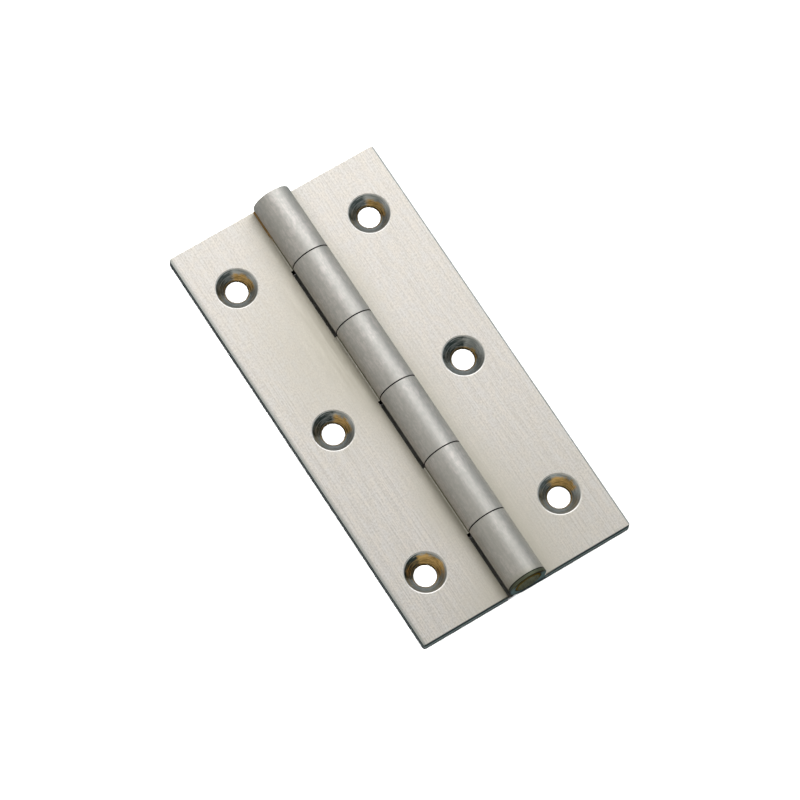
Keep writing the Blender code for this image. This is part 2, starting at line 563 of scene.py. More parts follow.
@dataclass(frozen=True)
class Finish:
    """What the finishes share: the hinge's sizes, and that each of them makes one material."""

    sizes: HingeSizes

    def make(self, name: str) -> Material:
        """Builds the material.

        Args:
            name: the material's name.

        Returns:
            The material.
        """
        material = bpy.data.materials.new(name)
        material.use_nodes = True
        self.paint(Board(material.node_tree, material.node_tree.nodes["Principled BSDF"]))
        return material

    def paint(self, board: Board) -> None:
        """Lays the finish's nodes; each finish has its own."""
        raise NotImplementedError


@dataclass(frozen=True)
class BrushedPlate(Finish):
    """Satin nickel brushed lengthwise: fine streaks along Y, faint warm and green mottling, painted shade.
    """

    warm: Colour = (0.70, 0.655, 0.603)
    cool: Colour = (0.678, 0.652, 0.628)
    dark: Colour = (0.45, 0.42, 0.385)
    # Colour of the painted shade beside the barrel and in the oval patches.
    shade_tone: Colour = (0.50, 0.468, 0.40)
    edge_shade: Colour = (0.22, 0.24, 0.23)
    # Dark lines painted along the right long edge and the lower end, as the shade on their rounded edges.
    edge_line: Colour = (0.07, 0.10, 0.11)
    end_line: Colour = (0.03, 0.045, 0.045)
    # Colour of the painted shade close beside the barrel.
    beside_barrel: Colour = (0.33, 0.31, 0.25)
    roughness: Span = (0.36, 0.45)
    relief: float = 0.0012 * MM
    hair_size: Size = mm(0.22, 9.0, 1.0)
    grain_size: Size = mm(0.26, 0.34, 0.3)
    patch_size: Size = mm(1.2, 2.0, 2.0)
    hair_share: float = 0.58
    mottling: Span = (0.36, 0.64)
    darkening: Span = (0.66, 0.30)
    shade_near: Span = mm(11.0, 4.5)
    shade_near_share: float = 0.6
    shade_below: Span = mm(42.0, 10.0)
    shade_fade: Span = mm(-4.0, 12.0)
    shade_fray: float = 3.0 * MM
    shaded_from_edge: float = 0.75 * MM
    edge_shading: float = 0.8
    line_from_edge: float = 0.18 * MM
    line_from_end: float = 0.22 * MM
    barrel_shade: Span = mm(5.8, 3.9)
    barrel_shading: float = 0.36
    barrel_shade_fray: float = 0.8 * MM
    # Patches of painted shade where the plate lies darker: beside the barrel and towards the lower end.
    shade_patches: Sequence[ShadePatch] = (
        ShadePatch(mm(-8.0, 11.0), mm(12.0, 27.0), 0.62),
        ShadePatch(mm(-8.0, -38.0), mm(7.0, 10.0), 0.45),
        ShadePatch(mm(-6.0, -20.0), mm(5.0, 12.0), 0.30),
        ShadePatch(mm(4.8, 18.0), mm(3.0, 14.0), 0.45),
        ShadePatch(mm(7.0, -30.0), mm(16.0, 26.0), 0.34),
    )

    def paint(self, board: Board) -> None:
        """Lays the streaks, the painted shade beside the barrel and the painted dark lines along the edges.

        Args:
            board: the material's board.
        """
        place = board.place()
        hairs = board.noise(place, self.hair_size, 3.0, 0.6)
        grain = board.noise(place, self.grain_size, 1.0, 0.5)
        patches = board.noise(place, self.patch_size, 3.0, 0.6)
        marks = board.plus(board.math("MULTIPLY", hairs, self.hair_share), grain, 1.0 - self.hair_share)
        mottled = board.mix(board.ramp(patches, *self.mottling), self.cool, self.warm)
        tone = board.mix(board.ramp(marks, *self.darkening), mottled, self.dark)
        # Painted shade: darker beside the barrel, fading towards the +Y end, and in oval patches.
        tone = board.mix(self.shade_share(board, place, patches), tone, self.shade_tone)
        across, along, _ = board.parts(place)
        edge, end = self.sizes.reach, self.sizes.half_length
        at_edge = board.ramp(across, self.shaded_from_edge - edge, -edge, 0.0, self.edge_shading)
        tone = board.mix(at_edge, tone, self.edge_shade)
        # Painted shade: dark lines along the right long edge and the lower end, on their rounded edges.
        at_edge = board.ramp(across, edge - self.line_from_edge, edge - self.line_from_edge / 2)
        tone = board.mix(at_edge, tone, self.edge_line)
        at_end = board.ramp(along, self.line_from_end - end, self.line_from_end / 2 - end)
        tone = board.mix(at_end, tone, self.end_line)
        # Painted shade close beside the barrel.
        from_pin = board.plus(board.math("ABSOLUTE", across), patches, self.barrel_shade_fray)
        beside = board.ramp(from_pin, *self.barrel_shade, 0.0, self.barrel_shading)
        tone = board.mix(beside, tone, self.beside_barrel)
        roughness = board.ramp(hairs, 0.3, 0.7, *self.roughness)
        tangent = board.tangent(Layer.BRUSHING)
        board.metal(tone, roughness, marks, self.relief, Anisotropic=0.8, Tangent=tangent)

    def shade_share(self, board: Board, place: Socket, patches: Socket) -> Socket:
        """Finds how much painted shade the plate has: most beside the barrel, and less towards its +Y end.

        Args:
            board: the material's board.
            place: the point on the object.
            patches: noise that makes the edge uneven.

        Returns:
            The share of the painted shade's colour.
        """
        across, along, _ = board.parts(place)
        from_pin = board.plus(board.math("ABSOLUTE", across), patches, self.shade_fray)
        near = board.ramp(from_pin, *self.shade_near, 0.0, self.shade_near_share)
        begins = board.ramp(across, -1.0 * MM, 1.0 * MM, *self.shade_below)
        past = board.math("SUBTRACT", begins, along)
        share = board.math("MULTIPLY", near, board.ramp(past, *self.shade_fade))
        for shade_patch in self.shade_patches:
            share = board.math("ADD", share, shade_patch.share(board, place))
        return share


@dataclass(frozen=True)
class SatinBarrel(Finish):
    """Matte tumbled nickel, faint lines along the pin, and a dark band of painted shade at its lower end."""

    colour: Colour = (0.635, 0.598, 0.572)
    darker: Colour = (0.48, 0.472, 0.445)
    # Colour of the darkening towards the lower end, painted shade where the highlight fades.
    dimmed: Colour = (0.42, 0.405, 0.345)
    shaded: Colour = (0.33, 0.335, 0.315)
    # The end line and band are painted shade at the barrel's lower end.
    end_line: Colour = (0.025, 0.03, 0.02)
    end_band: Colour = (0.11, 0.12, 0.082)
    end_slate: Colour = (0.085, 0.11, 0.11)
    roughness: Span = (0.42, 0.51)
    relief: float = 0.0016 * MM
    line_size: Size = (0.25 * MM, 6.0 * MM, 1.0)
    grain_size: Size = mm(0.25, 0.25, 0.25)
    cloud_size: Size = mm(2.5, 5.0, 2.5)
    mottle_size: Size = mm(0.5, 0.9, 0.5)
    dimmed_along: Span = mm(-10.0, -36.0)
    dimmed_share: float = 0.16
    dimmed_from_end: Span = mm(2.0, 0.56)
    dimmed_end_share: float = 0.6
    shaded_from: float = 2.1 * MM
    shaded_share: float = 0.85
    shaded_along: Span = mm(-24.0, 0.0)
    shaded_at_lower_end: float = 0.2
    line_from_end: Span = mm(0.61, 0.56)
    band_from_end: Span = mm(0.44, 0.38)

    def paint(self, board: Board) -> None:
        """Lays the lines, the mottling, the painted shade on one side and towards the lower end, and the end
        band.

        Args:
            board: the material's board.
        """
        place = board.place()
        lines = board.noise(board.layer(Layer.BRUSHING), self.line_size, 2.0, 0.5)
        grain = board.noise(place, self.grain_size, 2.0, 0.6)
        clouds = board.noise(place, self.cloud_size, 2.0, 0.5)
        mottle = board.noise(place, self.mottle_size, 3.0, 0.65)
        tone = board.mix(board.ramp(lines, 0.6, 0.35, 0.0, 0.6), self.colour, self.darker)
        tone = board.mix(board.ramp(clouds, 0.6, 0.4, 0.0, 0.45), tone, self.darker)
        tone = board.mix(board.ramp(mottle, 0.60, 0.38, 0.0, 0.85), tone, self.darker)
        across, along, upward = board.parts(place)
        # Painted shade: darker towards the lower end, where the highlight fades.
        tone = board.mix(board.ramp(along, *self.dimmed_along, 0.0, self.dimmed_share), tone, self.dimmed)
        # Painted shade on the +X flank.
        shaded = board.ramp(across, self.shaded_from, self.sizes.barrel_radius, 0.0, self.shaded_share)
        lengthwise = board.ramp(along, *self.shaded_along, self.shaded_at_lower_end, 1.0)
        tone = board.mix(board.math("MULTIPLY", shaded, lengthwise), tone, self.shaded)
        # Darker still in the last 2 mm, then a painted dark line and a band of painted shade at the end.
        from_end = board.math("ADD", self.sizes.half_length, along)
        dimmed = board.ramp(from_end, *self.dimmed_from_end, 0.0, self.dimmed_end_share)
        tone = board.mix(dimmed, tone, self.dimmed)
        tone = board.mix(board.ramp(from_end, *self.line_from_end), tone, self.end_line)
        band = board.mix(board.ramp(upward, *self.sizes.slate_heights), self.end_slate, self.end_band)
        tone = board.mix(board.ramp(from_end, *self.band_from_end), tone, band)
        roughness = board.ramp(grain, 0.3, 0.7, *self.roughness)
        height = board.math("ADD", grain, lines)
        tangent = board.tangent(Layer.BRUSHING)
        board.metal(tone, roughness, height, self.relief, Anisotropic=0.6, Tangent=tangent)


@dataclass(frozen=True)
class ThinPlating(Finish):
    """The countersinks: dull plating with turning lines, brass where it didn't reach, and painted shade."""

    plating: Colour = (0.58, 0.59, 0.58)
    slate: Colour = (0.33, 0.36, 0.365)
    brass: Colour = (0.86, 0.56, 0.22)
    tarnish: Colour = (0.36, 0.22, 0.075)
    # Painted shade: the near-black of the wall's dark sector.
    soot: Colour = (0.040, 0.055, 0.053)
    # The throat's dark brown: tarnished brass, darkened further as painted shade.
    bore: Colour = (0.10, 0.07, 0.03)
    line_size: Size = (0.7, 0.08, 1.0)
    patch_size: Size = mm(0.7, 0.7, 0.7)
    collar: Span = (0.68, 0.76)
    collar_share: float = 0.85
    throat: Span = (0.795, 0.825)
    depth_fray: float = 0.6
    sector_fray: float = 0.7
    sector_edge: Span = (1.16, 0.78)
    shade_on_brass: float = 0.75
    roughness: float = 0.30
    relief: float = 0.010 * MM

    def paint(self, board: Board) -> None:
        """Lays the turning lines, the bare brass and the painted shade on one side of the wall.

        The turning layer holds the direction round the hole and the depth. The two others hold how
        far round from their sector's middle a point lies, in half widths, and the sector's own value.

        Args:
            board: the material's board.
        """
        turning = board.layer(Layer.TURNING)
        depth = board.parts(turning)[1]
        lines = board.noise(turning, self.line_size, 3.0, 0.65)
        uneven = board.math("SUBTRACT", board.noise(board.place(), self.patch_size, 3.0, 0.65), 0.5)
        bare_turn, bare_depth = self.sector(board, Layer.BARE, uneven)
        past = board.plus(board.math("SUBTRACT", depth, bare_depth), uneven, self.depth_fray)
        bare = board.math("MULTIPLY", bare_turn, board.ramp(past, -0.08, 0.12))
        bare = board.math("MAXIMUM", bare, board.ramp(depth, *self.collar, 0.0, self.collar_share))
        # Painted shade: a sector on the same side of every countersink's wall is painted nearly black.
        shade_turn, shade_strength = self.sector(board, Layer.SOOT, uneven)
        in_shade = board.math("MULTIPLY", shade_turn, shade_strength)
        in_shade = board.math("MULTIPLY", in_shade, board.ramp(lines, 0.70, 0.40, 0.35, 1.0))
        in_shade = board.math("MULTIPLY", in_shade, board.ramp(bare, 0.0, 1.0, 1.0, self.shade_on_brass))
        tone = board.mix(board.ramp(lines, 0.36, 0.62), self.slate, self.plating)
        golden = board.mix(board.ramp(lines, 0.34, 0.6), self.tarnish, self.brass)
        tone = board.mix(in_shade, board.mix(bare, tone, golden), self.soot)
        # The throat: tarnished brass darkened as painted shade.
        tone = board.mix(board.ramp(depth, *self.throat), tone, self.bore)
        board.metal(tone, self.roughness, lines, self.relief)

    def sector(self, board: Board, layer: Layer, uneven: Socket) -> tuple[Socket, Socket]:
        """Reads a sector's layer.

        Args:
            board: the material's board.
            layer: the layer.
            uneven: noise round 0 that frays the sector's ends.

        Returns:
            1 inside the sector and 0 outside it, and the sector's own value.
        """
        away, value, _ = board.parts(board.layer(layer))
        frayed = board.plus(board.math("ABSOLUTE", away), uneven, self.sector_fray)
        return board.ramp(frayed, *self.sector_edge), value


@dataclass(frozen=True)
class CutEdge(Finish):
    """Cut ends and long edges: dark plating lined along the cut, a pale middle, edges in painted shade."""

    colour: Colour = (0.27, 0.33, 0.33)
    darker: Colour = (0.13, 0.17, 0.17)
    pale_band: Colour = (0.58, 0.645, 0.645)
    # Painted shade: the black at the face's top and bottom edges.
    dark_edges: Colour = (0.02, 0.03, 0.03)
    line_size: Size = mm(1.5, 3.0, 0.12)
    band_height: float = 0.95 * MM
    band_half: Span = mm(0.36, 0.144)
    dark_edges_from_middle: Span = mm(0.40, 0.62)
    roughness: float = 0.36
    relief: float = 0.003 * MM

    def paint(self, board: Board) -> None:
        """Lays the lines, the pale middle and the painted shade at the top and bottom edges.

        Args:
            board: the material's board.
        """
        place = board.place()
        lines = board.noise(place, self.line_size, 3.0, 0.6)
        off_middle = board.math("SUBTRACT", board.parts(place)[2], self.band_height)
        off_middle = board.math("ABSOLUTE", off_middle)
        tone = board.mix(board.ramp(lines, 0.4, 0.65), self.darker, self.colour)
        tone = board.mix(board.ramp(off_middle, *self.band_half), tone, self.pale_band)
        # Painted shade: the face turns black towards its top and bottom edges.
        tone = board.mix(board.ramp(off_middle, *self.dark_edges_from_middle), tone, self.dark_edges)
        board.metal(tone, self.roughness, lines, self.relief, Specular_Tint=GLANCING)


@dataclass(frozen=True)
class BarrelEnd(Finish):
    """The barrel's end: slate grey, olive where it rounds over, brown over the pin and black below."""

    slate: Colour = (0.22, 0.30, 0.30)
    pale: Colour = (0.27, 0.27, 0.17)
    rounded: Colour = (0.17, 0.178, 0.125)
    rounded_side: Colour = (0.12, 0.155, 0.155)
    brown: Colour = (0.052, 0.037, 0.013)
    black: Colour = (0.015, 0.03, 0.03)
    line_size: Size = mm(0.3, 0.3, 1.5)
    rounded_from_end: float = 0.12 * MM
    pale_from_axis: Span = mm(2.80, 3.00)
    brown_from_axis: Span = mm(3.22, 3.12)
    black_below: Span = mm(1.70, 0.51)
    roughness: float = 0.4
    relief: float = 0.003 * MM

    def paint(self, board: Board) -> None:
        """Lays the rings round the pin's head, painted highlight and shade at the top, and the black lower
        line of painted shadow.

        Args:
            board: the material's board.
        """
        place = board.place()
        _, along, height = board.parts(place)
        lines = board.noise(place, self.line_size, 3.0, 0.6)
        from_axis = board.distance(place, (0.0, self.sizes.barrel_radius))
        from_end = board.math("ADD", self.sizes.half_length, along)
        # Painted light by height: the top gets a painted highlight where it rounds over and brown in painted
        # shade; the sides stay slate.
        high = board.ramp(height, *self.sizes.slate_heights)
        outer = board.math("MULTIPLY", board.ramp(from_axis, *self.pale_from_axis), high)
        tone = board.mix(outer, self.slate, self.pale)
        # Painted shade: a dark line where the end starts to round over.
        rounded = board.mix(high, self.rounded_side, self.rounded)
        tone = board.mix(board.ramp(from_end, 0.0, self.rounded_from_end), tone, rounded)
        # Brown at the top, darkened as painted shade.
        inner = board.math("MULTIPLY", board.ramp(from_axis, *self.brown_from_axis), high)
        tone = board.mix(inner, tone, self.brown)
        # Painted shadow: black along the bottom, near the table.
        tone = board.mix(board.ramp(height, *self.black_below), tone, self.black)
        board.metal(tone, self.roughness, lines, self.relief, Specular_Tint=GLANCING)


@dataclass(frozen=True)
class Crevice(Finish):
    """Knuckle root: a brown line, old polish darkened as painted shade, and bare brass by the first knuckle.
    """

    brass: Colour = (0.18, 0.11, 0.042)
    # Painted shade in the crease, and on the plate beside it.
    dull: Colour = (0.10, 0.095, 0.065)
    plate_in_shade: Colour = (0.44, 0.42, 0.37)
    break_size: Size = mm(1.0, 1.5, 1.0)
    break_reach: float = 2.0 * MM
    brass_from: Span = mm(32.0, 34.5)
    line_end: Span = mm(3.50, 3.62)

    def paint(self, board: Board) -> None:
        """Lays the brown line, the plate darkened beside it as painted shade, and the brass at its upper
        end.

        Args:
            board: the material's board.
        """
        place = board.place()
        breaks = board.noise(place, self.break_size, 3.0, 0.6)
        from_axis = board.distance(place, (0.0, self.sizes.barrel_radius))
        # Painted shade: dark in the crease, and darker on the plate beside it than on the open plate.
        tone = board.mix(board.ramp(from_axis, *self.line_end), self.dull, self.plate_in_shade)
        reach = board.plus(board.parts(place)[1], breaks, self.break_reach)
        tone = board.mix(board.ramp(reach, *self.brass_from), tone, self.brass)
        board.shade(Base_Color=tone, Metallic=0.9, Roughness=0.45)


@dataclass(frozen=True)
class MilledNotch(Finish):
    """The milled faces between the knuckles, painted black as the shade in the gaps."""

    # Painted shade: the black of the narrow gaps.
    colour: Colour = (0.012, 0.013, 0.011)

    def paint(self, board: Board) -> None:
        """Sets the plain black of the painted shade."""
        board.shade(Base_Color=(*self.colour, 1.0), Metallic=1.0, Roughness=0.55)


@dataclass(frozen=True)
class BrightRim(Finish):
    """The lips of the countersinks, painted paler than the plate as a highlight along the rim."""

    colour: Colour = (0.74, 0.73, 0.71)
    grain_size: Size = mm(0.3, 0.3, 0.3)
    roughness: float = 0.33
    relief: float = 0.002 * MM

    def paint(self, board: Board) -> None:
        """Sets the plain colour over a fine grain.

        Args:
            board: the material's board.
        """
        grain = board.noise(board.place(), self.grain_size)
        # Painted highlight: the lip's paler colour.
        board.metal((*self.colour, 1.0), self.roughness, grain, self.relief)


@dataclass(frozen=True)
class PinMetal(Finish):
    """The pin: bare olive grey metal, its riveted ends finely lined inside a ring of tarnished brass."""

    colour: Colour = (0.30, 0.30, 0.20)
    darker: Colour = (0.12, 0.12, 0.08)
    ring: Colour = (0.20, 0.125, 0.012)
    line_size: Size = mm(0.12, 1.5, 1.2)
    ring_from_axis: Span = mm(1.95, 2.05)
    roughness: float = 0.42
    relief: float = 0.006 * MM

    def paint(self, board: Board) -> None:
        """Lays the fine lines and the ring round them.

        Args:
            board: the material's board.
        """
        place = board.place()
        lines = board.noise(place, self.line_size, 3.0, 0.6)
        from_axis = board.distance(place, (0.0, self.sizes.barrel_radius))
        tone = board.mix(board.ramp(lines, 0.4, 0.6), self.darker, self.colour)
        tone = board.mix(board.ramp(from_axis, *self.ring_from_axis), tone, self.ring)
        board.metal(tone, self.roughness, lines, self.relief, Specular_Tint=GLANCING)


@dataclass(frozen=True)
class PaleFloor(Finish):
    """The white table that the hinge lies on; the metal mirrors it grey, as if cards stood round it."""

    colour: Colour = (0.92, 0.92, 0.92)
    paler: Colour = (0.93, 0.93, 0.93)
    mirrored: Colour = (0.16, 0.17, 0.17)
    grain_size: Size = mm(4.0, 4.0, 4.0)

    def paint(self, board: Board) -> None:
        """Sets the table's white, and the grey that the metal mirrors.

        Args:
            board: the material's board.
        """
        grain = board.noise(board.place(), self.grain_size, 2.0, 0.5)
        in_metal = board.add("LightPath").outputs["Is Glossy Ray"]
        table = board.mix(grain, self.colour, self.paler)
        board.shade(Base_Color=board.mix(in_metal, table, self.mirrored), Roughness=0.8)


@dataclass
class Leaf:
    """One leaf with its knuckles: a drawn section, milled, bored, drilled and countersunk."""

    node: str
    body: str
    side: Side
    sizes: HingeSizes
    barrel_steps: int = 168
    hole_steps: int = 128
    round_steps: int = 8
    lip_steps: int = 6
    edge_steps: int = 4
    sharp_degrees: float = 30.0
    overrun: float = 1.0 * MM
    tolerance: float = 0.01 * MM
    skin: float = 0.002 * MM
    rim_margin: float = 0.02 * MM
    crevice_reach: float = 0.25 * MM
    throat_round: float = 0.05 * MM
    mouth_chamfer: float = 0.07 * MM

    def section(self) -> list[Point]:
        """The drawn section as (x, z) points, plate first, with its root fillet.

        Returns:
            The points.
        """
        s = self.sizes
        axis = (0.0, s.barrel_radius)
        fillet_z = s.front + s.root_fillet
        rise = fillet_z - s.barrel_radius
        fillet_x = math.sqrt((s.barrel_radius + s.root_fillet) ** 2 - rise**2)
        root = math.degrees(math.atan2(rise, fillet_x))
        barrel = arc(axis, s.barrel_radius, -90.0, root - 360.0, self.barrel_steps)
        fillet = arc((fillet_x, fillet_z), s.root_fillet, root + 180.0, 270.0, self.round_steps)
        points = [(s.reach, 0.0), *barrel, *fillet[1:], (s.reach, s.front)]
        return [(self.side * x, z) for x, z in points]

    def blank(self) -> Object:
        """Draws the section out to the hinge's length and rounds the free corners.

        Returns:
            The blank, without its notches and holes.
        """
        s = self.sizes
        shape = bmesh.new()
        ring = [shape.verts.new((x, -s.half_length, z)) for x, z in self.section()]
        grown = bmesh.ops.extrude_face_region(shape, geom=[shape.faces.new(ring)])
        raised = [item for item in grown["geom"] if isinstance(item, BMVert)]
        bmesh.ops.translate(shape, vec=(0.0, 2 * s.half_length, 0.0), verts=raised)
        corners = [edge for edge in shape.edges if self.is_free_corner(edge)]
        bmesh.ops.bevel(
            shape,
            geom=corners,
            offset=s.corner_radius,
            offset_type="OFFSET",
            segments=self.round_steps,
            profile=0.5,
            affect="EDGES",
        )
        return new_object(self.node + "_dressed", closed_mesh(shape, self.node + "_dressed"))

    def is_free_corner(self, edge: BMEdge) -> bool:
        """Says whether an edge stands upright at the leaf's free long edge.

        Args:
            edge: the edge.

        Returns:
            True if it does.
        """
        first, second = (corner.co for corner in edge.verts)
        outermost = min(self.side * first.x, self.side * second.x) > self.sizes.reach - self.tolerance
        return outermost and abs(first.z - second.z) > self.tolerance

    def notches(self) -> BMesh:
        """The boxes that clear the other leaf's knuckles.

        Returns:
            The boxes.
        """
        s = self.sizes
        shape = bmesh.new()
        wall = self.side * s.notch_wall
        far = -self.side * (s.barrel_radius + self.overrun)
        for index in s.knuckles_of(Side(-self.side)):
            low, high = s.knuckle_bounds(index)
            low -= self.overrun if index == s.knuckle_count - 1 else s.knuckle_gap / 2
            high += self.overrun if index == 0 else s.knuckle_gap / 2
            top = 2 * s.barrel_radius + self.overrun
            add_box(shape, (min(wall, far), low, -self.overrun), (max(wall, far), high, top))
        return shape

    def edge_radius(self, edge: BMEdge) -> float:
        """Says how far an edge is rounded: most at the free long edges and round the barrel's ends.

        Args:
            edge: the edge.

        Returns:
            The radius.
        """
        s = self.sizes
        middle = (edge.verts[0].co + edge.verts[1].co) / 2
        round_the_corner = 1.0 - (s.reach - self.side * middle.x) / s.corner_radius
        on_barrel = math.hypot(middle.x, middle.z - s.barrel_radius) < s.barrel_radius
        if on_barrel and abs(middle.y) > s.half_length - self.tolerance:
            return s.barrel_end_round
        return s.edge_round + (s.long_edge_round - s.edge_round) * min(max(round_the_corner, 0.0), 1.0)

    def soften(self, leaf: Object) -> None:
        """Rounds the leaf's sharp edges, each by its own radius.

        Args:
            leaf: the leaf.
        """
        largest = max(self.sizes.long_edge_round, self.sizes.barrel_end_round)
        shape = bmesh.new()
        shape.from_mesh(leaf.data)
        share = shape.edges.layers.float.new("bevel_weight_edge")
        for edge in shape.edges:
            if edge.calc_face_angle(0.0) > math.radians(self.sharp_degrees):
                edge[share] = self.edge_radius(edge) / largest
        shape.to_mesh(leaf.data)
        shape.free()
        rounding = leaf.modifiers.new("rounding", "BEVEL")
        rounding.width = largest
        rounding.segments = self.edge_steps
        rounding.limit_method = "WEIGHT"
        rounding.loop_slide = False
        apply_modifiers(leaf)

    def part_ends(self, leaf: Object) -> None:
        """Parts the end faces where the plate meets the barrel, because each has its own finish.

        Args:
            leaf: the leaf.
        """
        shape = bmesh.new()
        shape.from_mesh(leaf.data)
        everything = [*shape.verts, *shape.edges, *shape.faces]
        bmesh.ops.bisect_plane(
            shape,
            geom=everything,
            dist=1e-7,
            plane_co=(self.side * self.sizes.barrel_radius, 0.0, 0.0),
            plane_no=(1.0, 0.0, 0.0),
        )
        shape.to_mesh(leaf.data)
        shape.free()

    def bore(self) -> BMesh:
        """The pin's bore with a mouth at each end, its edge a little broken.

        Returns:
            The bore.
        """
        s = self.sizes
        bore = s.pin_radius + s.bore_clearance
        mouth = s.head_radius + s.bore_clearance
        shoulder = s.head_end - s.head_rim
        half = [
            (mouth + self.mouth_chamfer + self.overrun, s.half_length + self.overrun),
            (mouth, s.half_length - self.mouth_chamfer),
            (mouth, shoulder),
            (bore, shoulder - s.head_taper),
        ]
        outline = [(0.0, half[0][1]), *half, *((r, -y) for r, y in reversed(half)), (0.0, -half[0][1])]
        shape = bmesh.new()
        placing = Matrix.Translation((0.0, 0.0, s.barrel_radius)) @ Matrix.Rotation(-math.pi / 2, 4, "X")
        turn(shape, outline, self.hole_steps, placing)
        return shape

    def screw_holes(self) -> BMesh:
        """The drills and countersinks, each with a rounded lip at the front face.

        Returns:
            What is drilled away.
        """
        s = self.sizes
        back_off = s.lip_radius * math.tan(math.radians(22.5))
        lip_centre = (s.sink_radius + back_off, s.front - s.lip_radius + self.skin)
        lip = arc(lip_centre, s.lip_radius, 90.0, 135.0, self.lip_steps)
        throat = s.front - (s.sink_radius - s.hole_radius)
        top = s.front + self.overrun
        lower_centre = (s.hole_radius + self.throat_round, throat - self.throat_round)
        lower_lip = arc(lower_centre, self.throat_round, 135.0, 180.0, 2)
        outline = [(0.0, top), (lip[0][0], top), *lip, *lower_lip, (s.hole_radius, -self.overrun)]
        outline.append((0.0, -self.overrun))
        shape = bmesh.new()
        for place in s.screw_places(self.side):
            turn(shape, outline, self.hole_steps, Matrix.Translation(place))
        return shape

    def at_screw(self, corners: Sequence[Vector], radius: float) -> bool:
        """Says whether all corners lie within a radius of one screw hole's centre."""
        places = self.sizes.screw_places(self.side)
        return any(all((p.xy - place.xy).length < radius for p in corners) for place in places)

    def region_of(self, face: MeshPolygon, corners: Sequence[Vector]) -> Region:
        """Says which finish a face has.

        Args:
            face: the face.
            corners: where its corners are.

        Returns:
            The region.
        """
        s = self.sizes
        if self.at_screw(corners, s.sink_radius - self.rim_margin):
            return Region.COUNTERSINK
        if self.at_screw(corners, s.sink_radius + s.lip_radius / 4):
            return Region.RIM
        centre = face.center
        from_axis = math.hypot(centre.x, centre.z - s.barrel_radius)
        on_barrel = from_axis < s.barrel_radius + self.skin
        at_end = abs(centre.y) > s.half_length - (s.barrel_end_round if on_barrel else s.edge_round)
        if at_end and on_barrel and abs(face.normal.y) > 0.1:
            return Region.BARREL_END
        if at_end and abs(face.normal.y) > 0.3:
            return Region.CUT_END
        if abs(face.normal.y) > 0.5:
            return Region.NOTCH
        if on_barrel:
            return Region.BARREL
        at_root = self.side * centre.x > 0.9 * s.barrel_radius and s.front < centre.z < s.barrel_radius
        if at_root and from_axis < s.notch_wall + self.crevice_reach:
            return Region.CREVICE
        if abs(face.normal.x) > 0.9:
            return Region.CUT_END if abs(centre.x) > s.screw_reach else Region.NOTCH
        return Region.PLATE

    def lay_out(self, mesh: Mesh) -> None:
        """Gives each face its finish and fills the UV layers that the finishes read.

        Args:
            mesh: the leaf's mesh.
        """
        s = self.sizes
        layers = [mesh.uv_layers.new(name=layer.value) for layer in Layer]
        brushing, turning, bare, soot = (layer.data for layer in layers)
        places = s.screw_places(self.side)
        for face in mesh.polygons:
            region = self.region_of(face, [mesh.vertices[i].co for i in face.vertices])
            face.material_index = region
            nearest = min(range(len(places)), key=lambda i: (places[i].xy - face.center.xy).length)
            hole = places[nearest]
            wear_and_shade = COUNTERSINK_WEAR_AND_SHADE[self.side][nearest]
            middle_turn = math.atan2(face.center.x, face.center.z - s.barrel_radius)
            middle_clock = math.atan2(face.center.y - hole.y, face.center.x - hole.x)
            for loop in face.loop_indices:
                point = mesh.vertices[mesh.loops[loop].vertex_index].co
                across = point.x
                if region is Region.BARREL:
                    turned = math.atan2(point.x, point.z - s.barrel_radius)
                    turned += math.tau * round((middle_turn - turned) / math.tau)
                    across = turned * s.barrel_radius
                brushing[loop].uv = (across, point.y)
                if region is Region.COUNTERSINK:
                    clock = math.atan2(point.y - hole.y, point.x - hole.x)
                    clock += math.tau * round((middle_clock - clock) / math.tau)
                    turning[loop].uv = (clock, 1.0 - point.z / s.front)
                    bare[loop].uv = (wear_and_shade.bare.turn_from_middle(middle_clock), wear_and_shade.bare_depth)
                    # The painted shade's sector and strength.
                    soot[loop].uv = (wear_and_shade.shaded_sector.turn_from_middle(middle_clock), wear_and_shade.soot)

    def build(self, finishes: Sequence[Material]) -> Object:
        """Makes the leaf and sets it on its body.

        Args:
            finishes: one material for each region, in the regions' order.

        Returns:
            The leaf.
        """
        leaf = self.blank()
        subtract(leaf, self.notches())
        self.soften(leaf)
        subtract(leaf, self.bore())
        subtract(leaf, self.screw_holes())
        self.part_ends(leaf)
        even_normals(leaf)
        leaf.data.materials.clear()
        for finish in finishes:
            leaf.data.materials.append(finish)
        self.lay_out(leaf.data)
        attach(leaf, self.body)
        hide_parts(self.node)
        return leaf


@dataclass
class Pin:
    """The fixed pin with its two riveted heads."""

    node: str
    body: str
    sizes: HingeSizes
    steps: int = 128

    def build(self, finish: Material) -> Object:
        """Makes the pin and sets it on its body.

        Args:
            finish: its material.

        Returns:
            The pin.
        """
        s = self.sizes
        rounding = s.head_edge_round
        shoulder = s.head_end - s.head_rim
        edge = arc((s.head_radius - rounding, s.head_end - rounding), rounding, 90.0, 0.0, 5)
        half = [*edge, (s.head_radius, shoulder), (s.pin_radius, shoulder - s.head_taper)]
        outline = [(0.0, s.head_end), *half, *((r, -y) for r, y in reversed(half)), (0.0, -s.head_end)]
        shape = bmesh.new()
        placing = Matrix.Translation((0.0, 0.0, s.barrel_radius)) @ Matrix.Rotation(-math.pi / 2, 4, "X")
        turn(shape, outline, self.steps, placing)
        pin = new_object("hinge_pin_dressed", closed_mesh(shape, "hinge_pin_dressed"))
        even_normals(pin)
        pin.data.materials.append(finish)
        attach(pin, self.body)
        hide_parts(self.node)
        return pin


